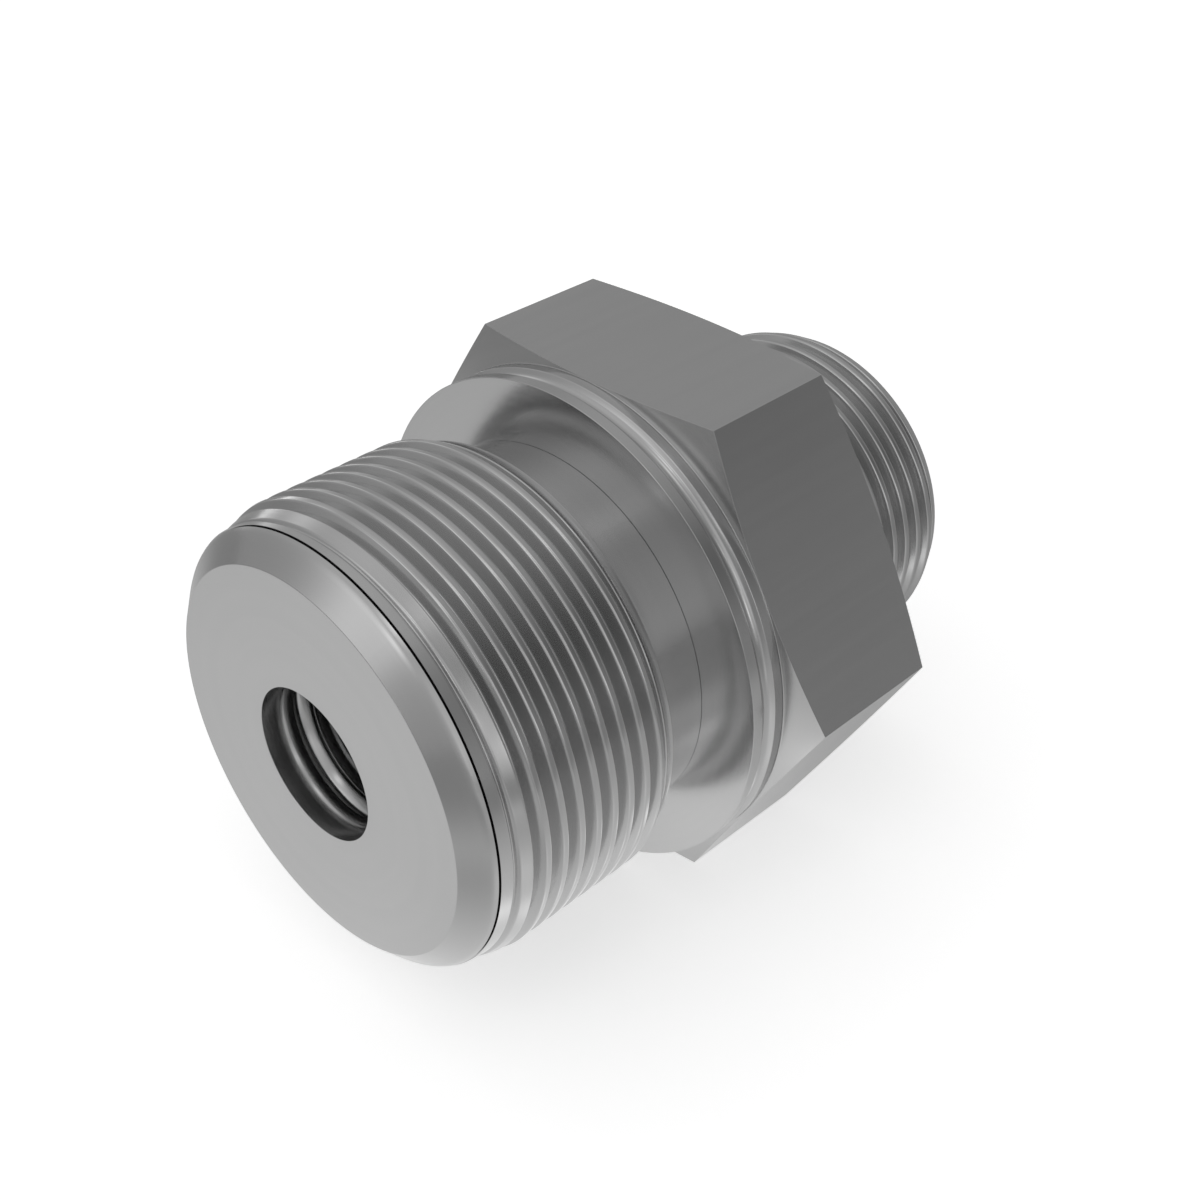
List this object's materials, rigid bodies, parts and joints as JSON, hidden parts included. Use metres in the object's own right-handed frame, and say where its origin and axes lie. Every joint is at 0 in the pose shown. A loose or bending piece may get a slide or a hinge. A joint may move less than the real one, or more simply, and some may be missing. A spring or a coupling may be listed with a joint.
{
  "type": "hydraulic adapter fitting",
  "caption": "Hexagon-bodied male to male hydraulic adapter with a large parallel thread, a smaller parallel thread, a grooved flange and a through bore.",
  "frame": {"origin": "on the bore's axis, in the plane of the flange's sealing face", "axes": "+X along the bore, from the large thread's nose towards the small thread; +Z square to one flat of the hexagon, up; the opposite flat faces down"},
  "size_m": [0.0813, 0.0692, 0.06],
  "materials": {
    "machined_steel": "turned and milled steel, satin"
  },
  "bodies": {
    "root": {"adapter_body": "machined_steel"}
  },
  "joints": []
}
